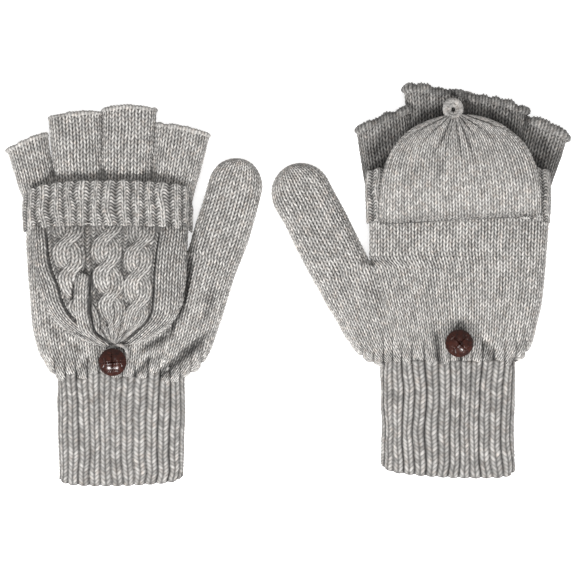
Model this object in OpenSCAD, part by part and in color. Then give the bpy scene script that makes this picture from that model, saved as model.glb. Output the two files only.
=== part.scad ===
// Pair of convertible flip-top mittens, lying palm down on a table with the fingers towards +Y.
// The left mitten has its hood folded back and looped over the button. The right mitten has its
// hood raised over the finger stubs. Each mitten is drawn in its own frame: the middle of the cuff's
// open end is at the origin, the thumb is towards +X, and the right mitten is then mirrored in X.

/* [Pair] */
// Distance between the middles of the two cuffs
cuff_spacing = 175.5; // [170:0.5:240]
// How much further up the table the right mitten lies
right_ahead = 7; // [0:0.5:15]

/* [Fabric] */
// Thickness of plain stocking stitch
knit_t = 2.4; // [1.8:0.1:2.8]
// Thickness of the ribbed cuff
rib_t = 3; // [2.4:0.1:3.4]
// Thickness of the cable panel
cable_t = 2.6; // [2.4:0.1:3.2]
// Height of the hand lying on the table
hand_h = 14.6; // [14:0.1:16]

/* [Cuff] */
// Width of the left cuff laid flat
left_cuff_w = 69; // [64:0.5:72]
// Width of the right cuff, which lies a little more stretched
right_cuff_w = 72; // [66:0.5:74]
// Length of the cuff
cuff_len = 55; // [45:1:57]
// Height of the cuff lying on the table
cuff_h = 14; // [13:0.1:14.6]

/* [Hood] */
// Distance of the hood's seam from the cuff's open end
hood_seam_y = 136.5; // [136:0.1:137]
// Width of the folded hood at its seam
folded_hood_w = 82; // [76:1:84]
// Length of the folded hood
folded_hood_len = 60.5; // [56:0.5:60.5]
// Width of the raised hood at its seam
raised_hood_w = 86.5; // [80:0.5:88]
// Length of the raised hood
raised_hood_len = 55.5; // [52:0.5:57]

/* [Rib band] */
// Length of the band along the fingers
band_len = 21.5; // [18:0.5:22]
// Thickness of the band over the bare hand
band_t = 2.7; // [2.2:0.1:2.8]
// Thickness of the band where the raised hood presses on it
pressed_band_t = 2.2; // [1.8:0.1:2.3]

/* [Button] */
// Diameter of the button
button_d = 14.4; // [13:0.1:14.6]
// Height of the button's dome
button_dome = 4.2; // [3.4:0.1:4.6]
// Distance of the left button from the cuff's open end
left_button_y = 67.1; // [66.5:0.1:67.5]
// Distance of the right button from the cuff's open end
right_button_y = 70.2; // [68:0.1:71]

/* [Hidden] */
LEFT = 0;
RIGHT = 1;
PARTS = ["cuff", "hand_heel", "hand_knuckles", "thumb", "index_stub", "middle_stub", "ring_stub",
         "little_stub", "rib_band", "hood_back", "hood_cable", "hood_seam", "loop", "button",
         "button_thread"];

wool = [0.66, 0.645, 0.625];
wool_rib = [0.62, 0.605, 0.585];
thread_grey = [0.55, 0.53, 0.5];
button_brown = [0.2, 0.07, 0.04];

ring_points = 24;      // points round a tube of fabric, a multiple of 4
hand_top = hand_h;
knuckle_y = 150;       // where the four finger stubs leave the hand
gap = 0.3;             // clearance between pieces that only lie on each other
crown = 0.3;           // how much the top of a flattened tube bulges
stub_crown = 0.2;      // and the same for a finger or a thumb
band_crown = crown + 0.1; // and for the band that lies over it
foot_clear = 0.4;      // how far the finger stubs lie above the table at their base
pair_middle = [2.05, 106.75]; // middle of the pair, from the midpoint between the cuffs' open ends

// Each station of the heel is [y, little-finger edge, thumb edge], from the cuff to the crotch of the thumb.
heel_left = [[55.2, -34.5, 34], [61.5, -38, 40.5], [68, -42, 45], [74, -45, 48], [81, -46.5, 50.5],
             [94, -48.5, 55], [107, -50, 59], [119, -50.5, 63.8], [129, -50.9, 67.3]];
heel_right = [[55.2, -35.8, 35.5], [60.5, -39, 44], [67, -44, 51], [73, -46.5, 55.5],
              [80, -48, 59], [92.6, -50.5, 66.2], [105.4, -52, 73.2], [116, -52.9, 78.8]];
// The hand between the thumb's crotch and the fingers: [y, little-finger edge, thumb edge].
knuckles_left = [[129, -50.9, 35.6], [136, -51, 35.9], [knuckle_y, -51.3, 37]];
knuckles_right = [[116, -52.9, 42.3], [131, -54, 42.4], [knuckle_y, -54.4, 43]];
// Where each finger meets its neighbours on the knuckle line, from the little finger to the index.
webs_left = [-50.8, -34, -10, 15.2, 36.8];
webs_right = [-53, -35.5, -10, 17, 43];
// The open end of each stub: [[little side x, y], [thumb side x, y]], in the same order.
tips_left = [[[-61.5, 181], [-39.8, 190.5]], [[-39, 199.5], [-10.9, 201.5]],
             [[-9.9, 203], [18, 203]], [[20.4, 195], [47.5, 190.5]]];
tips_right = [[[-65.6, 181], [-43.6, 192]], [[-42.8, 196.5], [-10.2, 202.5]],
              [[-9.2, 203], [23, 206.5]], [[24.4, 194.5], [50, 184.5]]];
FINGERS = ["little_stub", "ring_stub", "middle_stub", "index_stub"];
// The thumb: angle from +Y, and length from the crotch line to its tip.
thumb_angle = [16.2, 27.3];
thumb_len = [49.5, 55.2];
thumb_half_w = [14.5, 16];
thumb_tip_len = 16;    // length of the rounded tip
hinge_rise = 3.2;      // height of the hood's axis over the hand
hinge_z = hand_top + hinge_rise;
seam_r = 0.8;
seam_web = 1;
band_start = 4.3;      // from the hood's seam to the band's near edge
hood_x = [-5.5, -6.4]; // the middle of the hood, across the hand
tip_half = 4;          // half the width of the hood's blunt tip
lower_panel_t = [2.2, 1.8];
outline_power = [2.8, 2.5]; // how square the hood's outline is
top_start = [0.4, 2.4]; // height of the pouch's top over its axis, at the seam
top_full = [5.2, 5.4]; // and where it is fullest
top_rise_from = 1.6;   // distance from the seam at which the folded pouch starts to rise
top_rise_len = [10.4, 20];
tip_fall = [4.4, 3.4]; // how far the top comes down again, over the last part of the pouch
tip_fall_len = 14;
least_upper = 0.6;     // thickness of the upper panel at its edges
pillow_power = 3.2;    // how suddenly the pouch's top rounds down at its sides
over_stubs = 1.2;      // height of the raised pouch's underside over the hand, beyond the band
sink_len = 8;          // distance in which it comes down to that height
stub_drop = [1, 2.4];  // how much lower than the hand a finger stub is, at its base and at its open end
thumb_drop = 1.2;      // how much lower than the hand the thumb's tip is
thumb_settle = 0.4;    // share of the thumb's length in which it turns to its own direction
band_flare = [[2.6, 1.2], [2.3, 1.7]]; // how far the band's far edge spreads, [little finger side, thumb side]
mouth_len = 3;         // length of the cuff's slightly narrower mouth
loop_yarn_r = [0.85, 1.5];
loop_ring_r = [5.6, 4.6];
// Distances from the seam, as shares of the hood's length, at which its sections are drawn.
hood_rows = [0.027, 0.06, 0.1, 0.16, 0.24, 0.34, 0.46, 0.58, 0.69, 0.79, 0.87, 0.93, 0.975, 1];
hood_cols = 12;
button_x = [-4, -5.5];

function button_y(s) = s == LEFT ? left_button_y : right_button_y;
function side_of(s) = s == LEFT ? "left" : "right";
function hood_w(s) = s == LEFT ? folded_hood_w : raised_hood_w;
function hood_len(s) = s == LEFT ? folded_hood_len : raised_hood_len;

// ---- shared shapes ----

function unit(v) = v / norm(v);

// A section of a flattened tube: two round folds joined by a flat underside and a slightly crowned top.
// a and b are its two edges in plan, shrink moves the whole section inwards by the fabric's thickness.
function flat_section(a, b, z0, z1, shrink = 0, bulge = crown) =
    let (half = norm(b - a) / 2 - shrink, along = unit(b - a), mid = (a + b) / 2,
         r = min((z1 - z0) / 2 - shrink, half - 0.1), zc = (z0 + z1) / 2, quarter = ring_points / 4)
    [for (k = [0:ring_points - 1])
        let (q = floor(k / quarter), f = (k % quarter) / quarter,
             turn = (q % 2 == 0) ? 90 * (f * 2 - 1) : 0,
             right_fold = q == 0, top = q == 1, left_fold = q == 2,
             x = right_fold ? half - r + r * cos(turn)
               : top ? lerp(half - r, r - half, f)
               : left_fold ? r - half - r * cos(turn)
               : lerp(r - half, half - r, f),
             z = right_fold ? r * sin(turn) : top ? r : left_fold ? -r * sin(turn) : -r,
             lift = top ? bulge * (1 - pow(x / half, 2)) : 0)
        [mid.x + along.x * x, mid.y + along.y * x, zc + z + lift]];

function lerp(a, b, f) = a + (b - a) * f;

// Triangles of one skin that joins rings of points, each ring count points long.
function skin(rings, count, first = 0, flip = false) =
    [for (i = [0:rings - 2], k = [0:count - 1], t = [0, 1])
        let (a = first + i * count + k, b = first + i * count + (k + 1) % count,
             c = b + count, d = a + count, tri = t == 0 ? [a, b, c] : [a, c, d])
        flip ? [tri[2], tri[1], tri[0]] : tri];

// Triangles between two rings that face the same way, such as the two edges of an open end.
function rim(outer, inner, count, flip = false) =
    [for (k = [0:count - 1], t = [0, 1])
        let (n = (k + 1) % count,
             tri = t == 0 ? [outer + k, inner + k, inner + n] : [outer + k, inner + n, outer + n])
        flip ? [tri[2], tri[1], tri[0]] : tri];

// A flat end, as a fan from a point on the round fold, so that no triangle lies along the flat underside.
function cap(first, count, flip = false) =
    [for (k = [2:count - 1])
        let (a = first + 1, b = first + k, c = first + (k + 1) % count)
        flip ? [a, b, c] : [a, c, b]];

// A hollow tube of fabric from lists of outer and inner rings. A closed tube is capped at its last ring.
module fabric_tube(outer, inner, closed = false) {
    n = ring_points;
    shift = len(outer) * n;
    last_out = (len(outer) - 1) * n;
    last_in = shift + (len(inner) - 1) * n;
    polyhedron(
        points = [for (ring = concat(outer, inner)) for (p = ring) p],
        faces = concat(skin(len(outer), n, 0, true), skin(len(inner), n, shift, false),
                       rim(0, shift, n, true),
                       closed ? concat(cap(last_out, n), cap(last_in, n, true))
                              : rim(last_out, last_in, n)),
        convexity = 6);
}

// A sheet of fabric between two grids of points of the same size, top over bottom.
module fabric_sheet(top, bottom) {
    rows = len(top);
    cols = len(top[0]);
    under = rows * cols;
    function at(i, j) = i * cols + j;
    edge = concat([for (j = [0:cols - 1]) at(0, j)], [for (i = [1:rows - 1]) at(i, cols - 1)],
                  [for (j = [cols - 2:-1:0]) at(rows - 1, j)], [for (i = [rows - 2:-1:1]) at(i, 0)]);
    polyhedron(
        points = [for (grid = [top, bottom]) for (row = grid) for (p = row) p],
        faces = concat(
            [for (i = [0:rows - 2], j = [0:cols - 2], t = [0, 1])
                t == 0 ? [at(i, j), at(i + 1, j + 1), at(i, j + 1)]
                       : [at(i, j), at(i + 1, j), at(i + 1, j + 1)]],
            [for (i = [0:rows - 2], j = [0:cols - 2], t = [0, 1])
                t == 0 ? [under + at(i, j), under + at(i, j + 1), under + at(i + 1, j + 1)]
                       : [under + at(i, j), under + at(i + 1, j + 1), under + at(i + 1, j)]],
            [for (k = [0:len(edge) - 1], t = [0, 1])
                let (a = edge[k], b = edge[(k + 1) % len(edge)])
                t == 0 ? [a, b, under + b] : [a, under + b, under + a]]),
        convexity = 6);
}

// A tube whose stations are [y, left edge, right edge].
module stationed_tube(stations, height, t) {
    function section(s, shrink) = flat_section([s[1], s[0]], [s[2], s[0]], 0, height, shrink);
    fabric_tube([for (s = stations) section(s, 0)], [for (s = stations) section(s, t)]);
}

// ---- the knitted hand ----

module cuff(s) {
    half = (s == LEFT ? left_cuff_w : right_cuff_w) / 2;
    color(wool_rib)
        stationed_tube([[0, 1 - half, half - 1], [mouth_len, -half, half],
                        [cuff_len, 0.5 - half, half - 0.5]], cuff_h, rib_t);
}

module hand_heel(s) {
    color(wool) stationed_tube(s == LEFT ? heel_left : heel_right, hand_h, knit_t);
}

module hand_knuckles(s) {
    color(wool) stationed_tube(s == LEFT ? knuckles_left : knuckles_right, hand_h, knit_t);
}

module finger_stub(s, i) {
    webs = s == LEFT ? webs_left : webs_right;
    tip = (s == LEFT ? tips_left : tips_right)[i];
    base = [[webs[i] + gap, knuckle_y + 0.05], [webs[i + 1] - gap, knuckle_y + 0.05]];
    steps = 3;
    function section(f, shrink) =
        flat_section(lerp(base[0], tip[0], f), lerp(base[1], tip[1], f),
                     foot_clear * (1 - f), hand_h - lerp(stub_drop[0], stub_drop[1], f), shrink, stub_crown);
    color(wool)
        fabric_tube([for (k = [0:steps]) section(k / steps, 0)],
                    [for (k = [0:steps]) section(k / steps, knit_t)]);
}

// A tube along its own slanting axis, with a round tip. Its root is cut along the crotch line.
module thumb(s) {
    heel = s == LEFT ? heel_left : heel_right;
    knuckles = s == LEFT ? knuckles_left : knuckles_right;
    inner_x = knuckles[0][2] + 2 * gap;
    outer_x = heel[len(heel) - 1][2];
    root = [(inner_x + outer_x) / 2, knuckles[0][0] + 0.05];
    angle = thumb_angle[s];
    blunt = 0.4;           // height of the tip's last section, as a share of the thumb's
    last_inside = 0.97;    // where the hollow ends, as a share of the length
    // t is the distance from the tip, which rounds off in plan and in height.
    function round_off(t) = t >= thumb_tip_len ? 1 : sqrt(1 - pow(1 - t / thumb_tip_len, 2));
    function section(f, shrink) =
        let (reach = thumb_len[s] - shrink, along = f * reach, tip = round_off(reach - along),
             settled = min(1, f / thumb_settle),
             half = lerp((outer_x - inner_x) / 2, thumb_half_w[s], settled) * tip,
             tilt = angle * settled, across = [cos(tilt), -sin(tilt)],
             mid = root + along * [sin(angle), cos(angle)],
             high = hand_h - thumb_drop * f, low = high / 2 * (1 - max(tip, blunt)))
        flat_section(mid - across * half, mid + across * half, low, high - low, shrink, stub_crown);
    shares = [0, 0.15, 0.3, 0.45, 0.6, 0.75, 0.82, 0.88, 0.93, 0.965, 0.988];
    color(wool)
        fabric_tube([for (f = shares) section(f, 0)],
                    [for (f = shares) if (f < last_inside) section(f, knit_t)], closed = true);
}

// ---- the rib band across the fingers ----

// The band lies on the knuckles, and its two ends bend down over the sides of the hand.
module rib_band(s) {
    edge = (s == LEFT ? knuckles_left : knuckles_right)[2];
    mid_x = (edge[1] + edge[2]) / 2;
    flat = (edge[2] - edge[1] - hand_h) / 2;
    // half the flat part's width on the little-finger side (-1) or the thumb side (1)
    function flat_half(side, along) = flat + band_flare[s][side < 0 ? 0 : 1] * along * along;
    thick = s == LEFT ? band_t : pressed_band_t;
    cols = 20;
    bend = 0.2;       // share of the columns in each bent end
    end_angle = 24;   // how far above the table's direction each end stops
    droop = 3.5;      // how far the ends lean towards the cuff
    end_thin = 0.5;   // thickness at the ends, as a share of the thickness over the hand
    // x and z of the section's line at distance out from its underside. f runs from end to end, and along
    // from the near edge to the far one.
    function profile(f, out, along) =
        let (from_end = min(f, 1 - f) / bend,
             r = hand_h / 2 + gap + out * lerp(end_thin, 1, min(1, from_end)), angle = lerp(end_angle, 90, min(1, from_end)), side = f < 0.5 ? -1 : 1,
             across = lerp(-1, 1, (f - bend) / (1 - 2 * bend)))
        from_end < 1 ? [side * (flat_half(side, along) + r * cos(angle)), r * sin(angle)]
                     : [across * flat_half(side, along), r + band_crown * (1 - across * across)];
    function grid(out) =
        [for (along = [0, 0.5, 1]) [for (k = [0:cols])
            let (p = profile(k / cols, out, along), lean = droop * pow(abs(2 * k / cols - 1), 3))
            [mid_x + p.x, hood_seam_y + band_start + along * band_len - lean, hand_h / 2 + p.y]]];
    color(wool_rib) fabric_sheet(grid(thick), grid(0));
}

// ---- the hood: a flat pouch of two panels, hinged on its seam ----

// Half the hood's width at distance r from its seam.
function hood_half(s, r) =
    max(tip_half, hood_w(s) / 2 * sqrt(max(0, 1 - pow(r / hood_len(s), outline_power[s]))));

// Heights over the hinge's axis. Folded back, the pouch lies on the back of the hand. Raised, it lies
// on the band, and beyond the band it sinks towards the finger stubs.
function under_side(s, r) =
    s == LEFT ? band_crown + gap - hinge_rise
              : lerp(pressed_band_t + 2 * gap + band_crown, over_stubs,
                     smooth((r - band_start - band_len - 1) / sink_len)) - hinge_rise;
function top_side(s, r) =
    let (tip = max(0, 1 - (hood_len(s) - r) / tip_fall_len),
         rise = s == LEFT ? min(1, (r - top_rise_from) / top_rise_len[s]) : swell(r / top_rise_len[s]))
    lerp(top_start[s], top_full[s], rise) - tip_fall[s] * tip * tip;
function smooth(f) = let (c = min(1, max(0, f))) c * c * (3 - 2 * c);
function swell(f) = 1 - pow(1 - min(1, f), 2);
function pillow(f) = sqrt(max(0, 1 - pow(abs(f), pillow_power)));

// The four heights of a section at distance r and at share f of its half-width, from -1 to 1:
// both faces of the lower panel, then both faces of the upper panel of thickness t.
function layers(s, r, f, t) =
    let (low = under_side(s, r), inside = low + lower_panel_t[s], roof = inside + 0.05,
         top = roof + max(least_upper, (top_side(s, r) - roof) * pillow(f)))
    [low, inside, max(roof, top - t), top];

// One of the four surfaces as a grid. dir is -1 for a hood folded towards the cuff, and 1 for a raised one.
function hood_grid(s, layer, t = 0) =
    let (dir = s == LEFT ? -1 : 1)
    [for (share = hood_rows) [for (j = [0:hood_cols])
        let (r = share * hood_len(s), f = (2 * j / hood_cols - 1) * -dir)
        [hood_x[s] + f * hood_half(s, r), hood_seam_y + dir * r, hinge_z + layers(s, r, f, t)[layer]]]];

module lower_panel(s) {
    fabric_sheet(hood_grid(s, 1), hood_grid(s, 0));
}

module upper_panel(s, t) {
    fabric_sheet(hood_grid(s, 3, t), hood_grid(s, 2, t));
}

// The panel that is sewn to the hand lies underneath when the hood is folded back, and on top when it is raised.
module hood_back(s) {
    color(wool)
        if (s == LEFT) lower_panel(s);
        else upper_panel(s, knit_t);
}

module hood_cable(s) {
    color(wool)
        if (s == LEFT) upper_panel(s, cable_t);
        else lower_panel(s);
}

// The ridge that sews the hood to the hand. Its round edge is the axis on which the hood flips.
module hood_seam(s) {
    length = hood_w(s) - 5;
    color(wool_rib)
        translate([hood_x[s] - length / 2, hood_seam_y, 0]) {
            translate([0, 0, hinge_z]) rotate([0, 90, 0]) cylinder(r = seam_r, h = length, $fn = 24);
            translate([0, -seam_web / 2, hand_top + crown]) cube([length, seam_web, hinge_rise - crown]);
        }
}

// ---- button and loop ----

eye_z = hand_top + 2.5;       // height of the eye in the button's shank
eye_r = 0.75;
thread_r = 0.6;
leg_x = 2.3;                  // from the shank's middle to each leg of the thread
head_z = hand_top + 4.3;      // underside of the button's head
rim_h = 1.2;
shank_r = 1.7;
shank_below_eye = 1.5;

module button(s) {
    color(button_brown)
        translate([button_x[s], button_y(s), 0]) {
            translate([0, 0, head_z]) {
                difference() {
                    rotate_extrude($fn = 64) button_profile();
                    button_grooves();
                }
            }
            difference() {
                translate([0, 0, eye_z - shank_below_eye])
                    cylinder(r = shank_r, h = head_z - eye_z + shank_below_eye + 0.2, $fn = 32);
                translate([-2 * shank_r, 0, eye_z])
                    rotate([0, 90, 0]) cylinder(r = eye_r, h = 4 * shank_r, $fn = 24);
            }
        }
}

// A domed disc: a rounded rim, then an arc of a circle over the top.
module button_profile() {
    r = button_d / 2;
    rise = button_dome - rim_h;
    dome_r = (r * r + rise * rise) / (2 * rise);
    polygon(concat([[0, 0], [r - 1, 0]], [for (a = [0:30:90]) [r - 0.6 + 0.6 * sin(a), 0.6 - 0.6 * cos(a)]],
                   [for (k = [0:10]) let (x = r * (1 - k / 10))
                       [x, rim_h + sqrt(dome_r * dome_r - x * x) - (dome_r - rise)]]));
}

// Two crossed creases, where the plaited strips of the dome meet.
module button_grooves() {
    for (a = [45, 135])
        rotate([0, 0, a])
            translate([-button_d, -0.15, button_dome - 0.25]) cube([2 * button_d, 0.3, 1]);
}

// The thread goes through the eye and down into the knit on both sides of the shank.
module button_thread(s) {
    leg_start = hand_top + crown + gap;
    color(thread_grey)
        translate([button_x[s], button_y(s), 0]) {
            translate([-leg_x, 0, eye_z]) rotate([0, 90, 0]) cylinder(r = thread_r, h = 2 * leg_x, $fn = 24);
            for (side = [-1, 1])
                translate([side * leg_x, 0, 0]) {
                    translate([0, 0, leg_start]) cylinder(r = thread_r, h = eye_z - leg_start, $fn = 24);
                    translate([0, 0, eye_z]) sphere(r = thread_r, $fn = 24);
                }
        }
}

// A loop of crocheted yarn at the hood's tip. On the left it is stretched round the thread under the button.
module loop(s) {
    yarn_r = loop_yarn_r[s];
    ring_r = loop_ring_r[s];
    reach = hood_len(s) + ring_r + yarn_r;
    x = s == LEFT ? button_x[s] : hood_x[s];
    y = hood_seam_y + (s == LEFT ? -reach : reach);
    z = s == LEFT ? hand_top + 1.7 : hinge_z;
    color(wool_rib)
        translate([x, y, z]) rotate_extrude($fn = 48) translate([ring_r, 0]) circle(r = yarn_r, $fn = 16);
}

// ---- assembly ----

module piece(name, s) {
    if (name == "cuff") cuff(s);
    if (name == "hand_heel") hand_heel(s);
    if (name == "hand_knuckles") hand_knuckles(s);
    if (name == "thumb") thumb(s);
    for (i = [0:3]) if (name == FINGERS[i]) finger_stub(s, i);
    if (name == "rib_band") rib_band(s);
    if (name == "hood_back") hood_back(s);
    if (name == "hood_cable") hood_cable(s);
    if (name == "hood_seam") hood_seam(s);
    if (name == "loop") loop(s);
    if (name == "button") button(s);
    if (name == "button_thread") button_thread(s);
}

// Puts one mitten in its place in the pair. The right one is the left one's mirror image.
module place(s) {
    x = (s == LEFT ? -1 : 1) * cuff_spacing / 2;
    translate([x - pair_middle.x, (s == RIGHT ? right_ahead : 0) - pair_middle.y, 0])
        if (s == RIGHT) mirror([1, 0, 0]) children();
        else children();
}

for (s = [LEFT, RIGHT], p = PARTS)
    place(s) piece(p, s);
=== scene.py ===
"""Looks for a pair of convertible flip-top mittens: knitted tubes and panels, buttons, light and camera.

Every knitted piece is a closed loft of rings of points in its mitten's own frame, in millimetres: u is across
the hand towards the thumb, v runs from the cuff's open end to the fingers and z is up. The right mitten is a
mirror image. Stitches are raised along the surface's normals, and a knitted piece carries its stitch
coordinates.
"""
import math

import bpy
import numpy as np
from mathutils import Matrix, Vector


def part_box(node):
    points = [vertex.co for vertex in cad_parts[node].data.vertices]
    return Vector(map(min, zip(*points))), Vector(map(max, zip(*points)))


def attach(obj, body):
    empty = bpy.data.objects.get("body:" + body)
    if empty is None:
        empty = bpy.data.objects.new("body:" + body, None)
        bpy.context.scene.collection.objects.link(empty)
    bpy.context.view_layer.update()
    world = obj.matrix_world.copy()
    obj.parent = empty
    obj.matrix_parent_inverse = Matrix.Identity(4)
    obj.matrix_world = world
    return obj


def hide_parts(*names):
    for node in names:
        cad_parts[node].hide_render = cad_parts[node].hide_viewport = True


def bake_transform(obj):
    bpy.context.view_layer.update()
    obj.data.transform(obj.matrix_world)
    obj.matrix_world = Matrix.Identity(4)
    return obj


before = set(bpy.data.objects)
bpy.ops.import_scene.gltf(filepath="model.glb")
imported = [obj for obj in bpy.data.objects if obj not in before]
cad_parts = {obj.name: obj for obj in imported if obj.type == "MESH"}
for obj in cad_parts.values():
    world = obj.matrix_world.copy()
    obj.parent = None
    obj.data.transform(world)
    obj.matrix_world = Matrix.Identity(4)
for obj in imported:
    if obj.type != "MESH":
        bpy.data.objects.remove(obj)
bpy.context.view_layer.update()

# ---- sizes, in millimetres ----

WALE = 3.35            # width of one column of stitches
COURSE = 2.28          # height of one row of stitches
HOOD_WALE = 2.95       # the hood is knitted a little finer
PER_WALE = 8           # grid columns for each wale
ROW = COURSE / 5       # distance between grid rows
STITCH_RELIEF = 1.15   # how far a stitch stands out of its gutter
FLUSH = 0.8            # the stitch height, from 0 to 1, that lies on the smooth surface
KNIT_T = 2.4           # thickness of the plain knit
TWO_FOLDS = 8.3        # fabric that a tube's two edges take up, beyond its flat width
LOWEST = 0.05          # the fabric lies flat on the floor
CUFF_TOP = 54          # where the hand's tube begins, inside the cuff's upper end
CUFF_HALF_HEIGHT = 7.0
STUB_BASE = 150        # where the finger stubs begin
GUSSET_LEAN = 1.7      # how sharply the wales lean towards the thumb: a power of the share across the hand
RIB_PITCH = 6.1        # distance between the cuff's ribs
RIB_SHARP = 6.5        # how square they are
RIB_DEPTH = 1.6
RIB_END = [54, 4.5]    # where the first ribs end, and how much further the last ones run
BAND_PITCH = 7.2       # distance between the band's ribs
SEAM_V = 136.5         # distance of the hood's seam from the cuff's open end
FOLD = math.pi / 2 - 1  # a quarter fold of radius 1 holds this much more fabric than its width

# The outlines of each hand, as [v, little-finger edge, thumb edge].
OUTLINES = {
    "left": {
        "heel": [[54, -34.2, 34.2], [58, -35.6, 36.6], [62, -38.2, 40.5], [68, -42, 45], [74, -44.8, 48],
                 [81, -46.7, 50.8], [94, -48.5, 55], [107, -49.8, 59.2], [119, -50.5, 63.4],
                 [129, -50.9, 67.1]],
        "knuckles": [[129, -50.9, 35.9], [136, -51, 36], [152, -51.4, 37.2]],
        "webs": [-50.9, -34, -10, 15.2, 37],
        "tips": [[[-61, 179.5], [-39.8, 188.3]], [[-38.7, 197.5], [-10.7, 200]],
                 [[-9.9, 201.5], [18.3, 201.5]], [[18.8, 193.5], [47, 187.8]]],
        "thumb": {"turn": [19, 13], "length": 54, "half": [15.4, 14.2]},
        "cuff_half": 34.3,
        "mouth": [1.2, -8],
        "button": [-4, 67.1],
        "rib_phase": 0.55,
        "hood": {"u": -5.5, "half": 41, "length": 61, "powers": [3.2, 4.4], "lean": 1.0, "slant": 0.0},
    },
    "right": {
        "heel": [[54, -35.8, 35.8], [57.5, -36.8, 38.5], [60.5, -39, 44], [67, -44, 51], [73, -46.5, 55.2],
                 [80, -48, 59], [92.6, -50.5, 66.2], [105.4, -52, 73.0], [116, -52.9, 78.8]],
        "knuckles": [[116, -52.9, 42.5], [131, -54, 42.5], [152, -54.5, 43.2]],
        "webs": [-53, -35.5, -10, 17, 43],
        "tips": [[[-63.8, 179], [-41.4, 190]], [[-42, 193.6], [-10.0, 201]],
                 [[-9.4, 202], [23, 205.5]], [[20.5, 194], [48.6, 183.5]]],
        "thumb": {"turn": [27, 27.6], "length": 63.6, "half": [16.2, 16.2]},
        "cuff_half": 36.5,
        "mouth": [-1.7, -15],
        "button": [-5.5, 70.2],
        "rib_phase": 0.2,
        "hood": {"u": -6.4, "half": 43.3, "length": 55.8, "powers": [3.0, 3.0], "lean": 3.0, "slant": 0.055},
    },
}
FINGERS = ["little", "ring", "middle", "index"]

# Creases in the heel's upper face: (start u, v), (end u, v), width, depth.
HEEL_CREASES = {
    "left": [((44, 80), (21, 60), 2.6, 3.3), ((38, 121), (33, 96), 4.0, 2.2),
             ((16, 70), (8, 60), 2.0, 2.0), ((-17, 70), (-23, 60), 2.4, 1.4),
             ((-30, 76), (-38, 64), 3.0, 1.2), ((50, 108), (44, 90), 5.0, 1.4),
             ((36, 122), (32, 98), 2.0, 1.7), ((31.5, 96), (27, 84), 2.2, 2.3),
             ((26, 82), (11, 74.5), 2.2, 2.1), ((-40, 90), (-32, 81), 2.0, 0.9),
             ((-31, 80), (-20, 74), 2.0, 1.1)],
    "right": [((6.5, 76), (4.8, 58), 2.2, 2.8), ((17.5, 62), (13.5, 56), 2.4, 1.8),
              ((-19, 72), (-24, 60), 3.0, 2.2), ((-5, 80), (-5.5, 62), 6.0, 1.4),
              ((44, 106), (34, 86), 5.5, 1.1), ((-33, 62), (-38, 58), 2.4, 1.5)],
}


# ---- small helpers ----

def smooth(f):
    f = np.clip(f, 0, 1)
    return f * f * (3 - 2 * f)


def lerp(a, b, f):
    return a + (b - a) * f


def bell(x, width):
    """1 at x = 0, falling away on both sides over the width."""
    return np.exp(-(x / width) ** 2)


def stack(*columns):
    """Points from one array for each coordinate."""
    return np.stack(columns, axis=-1)


def join(*parts, axis=0):
    return np.concatenate(parts, axis=axis)


def unit(vectors):
    return vectors / np.linalg.norm(vectors, axis=1, keepdims=True)


def arch(f):
    """0 at f = 0, rising as a quarter circle to 1 at f = 1 and beyond."""
    return np.sqrt(np.clip(1 - (1 - np.clip(f, 0, 1)) ** 2, 0, 1))


def curve(x, points, column):
    """A smooth curve through a table's column, as a function of its first column."""
    xs = np.array([p[0] for p in points], float)
    ys = np.array([p[column] for p in points], float)
    slopes = np.gradient(ys, xs)
    x = np.clip(x, xs[0], xs[-1])
    i = np.clip(np.searchsorted(xs, x) - 1, 0, len(xs) - 2)
    step = xs[i + 1] - xs[i]
    f = (x - xs[i]) / step
    return ((1 + 2 * f) * (1 - f) ** 2 * ys[i] + f * (1 - f) ** 2 * step * slopes[i]
            + f * f * (3 - 2 * f) * ys[i + 1] + f * f * (f - 1) * step * slopes[i + 1])


def soft_ramp(d, radius):
    """max(d, 0) with its corner rounded over the radius on both sides."""
    return np.where(d < -radius, 0, np.where(d > radius, d, (d + radius) ** 2 / (4 * radius)))


def scatter(a, b, seed):
    """A fixed pseudo-random number from 0 to 1 for each pair of whole numbers."""
    a = np.asarray(a).astype(np.int64)
    b = np.asarray(b).astype(np.int64)
    h = (a * 374761393 + b * 668265263 + seed * 974634777) & 0xFFFFFFFF
    h = ((h ^ (h >> 13)) * 1274126177) & 0xFFFFFFFF
    h = ((h ^ (h >> 16)) * 2246822519) & 0xFFFFFFFF
    return ((h ^ (h >> 15)) & 0xFFFFFF) / 0xFFFFFF


def own_number(x, seed):
    """A fixed pseudo-random number from 0 to 1 for each whole step of x."""
    return scatter(np.floor(x), 0 * x, seed)


def cloud(x, y, seed):
    """Smooth noise from -1 to 1, with lumps one unit wide."""
    xi, yi = np.floor(x), np.floor(y)
    fx, fy = smooth(x - xi), smooth(y - yi)
    low = lerp(scatter(xi, yi, seed), scatter(xi + 1, yi, seed), fx)
    high = lerp(scatter(xi, yi + 1, seed), scatter(xi + 1, yi + 1, seed), fx)
    return 2 * lerp(low, high, fy) - 1


# ---- stitches: each returns height from 0 to 1 and tone from 0 to 1 ----

def plain(s, c, seed):
    """Stocking stitch: columns of V shapes that open towards growing c."""
    s = s + 0.07 * cloud(s * 0.6, c * 0.3, seed)
    c = c + 0.25 * cloud(np.floor(s) * 3.1, c * 0.35, seed + 1)
    half = np.abs(np.mod(s, 1) - 0.5) * 2
    q = c - 1.05 * half
    f = np.mod(q, 1)
    tone = scatter(np.floor(2 * s), np.floor(q), seed + 2)
    ridge = np.sin(math.pi * f) ** 0.9
    bulge = np.sin(math.pi * (0.03 + 0.93 * half)) ** 0.9
    return bulge * (0.34 + 0.66 * ridge) * (0.84 + 0.2 * tone), tone


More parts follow.
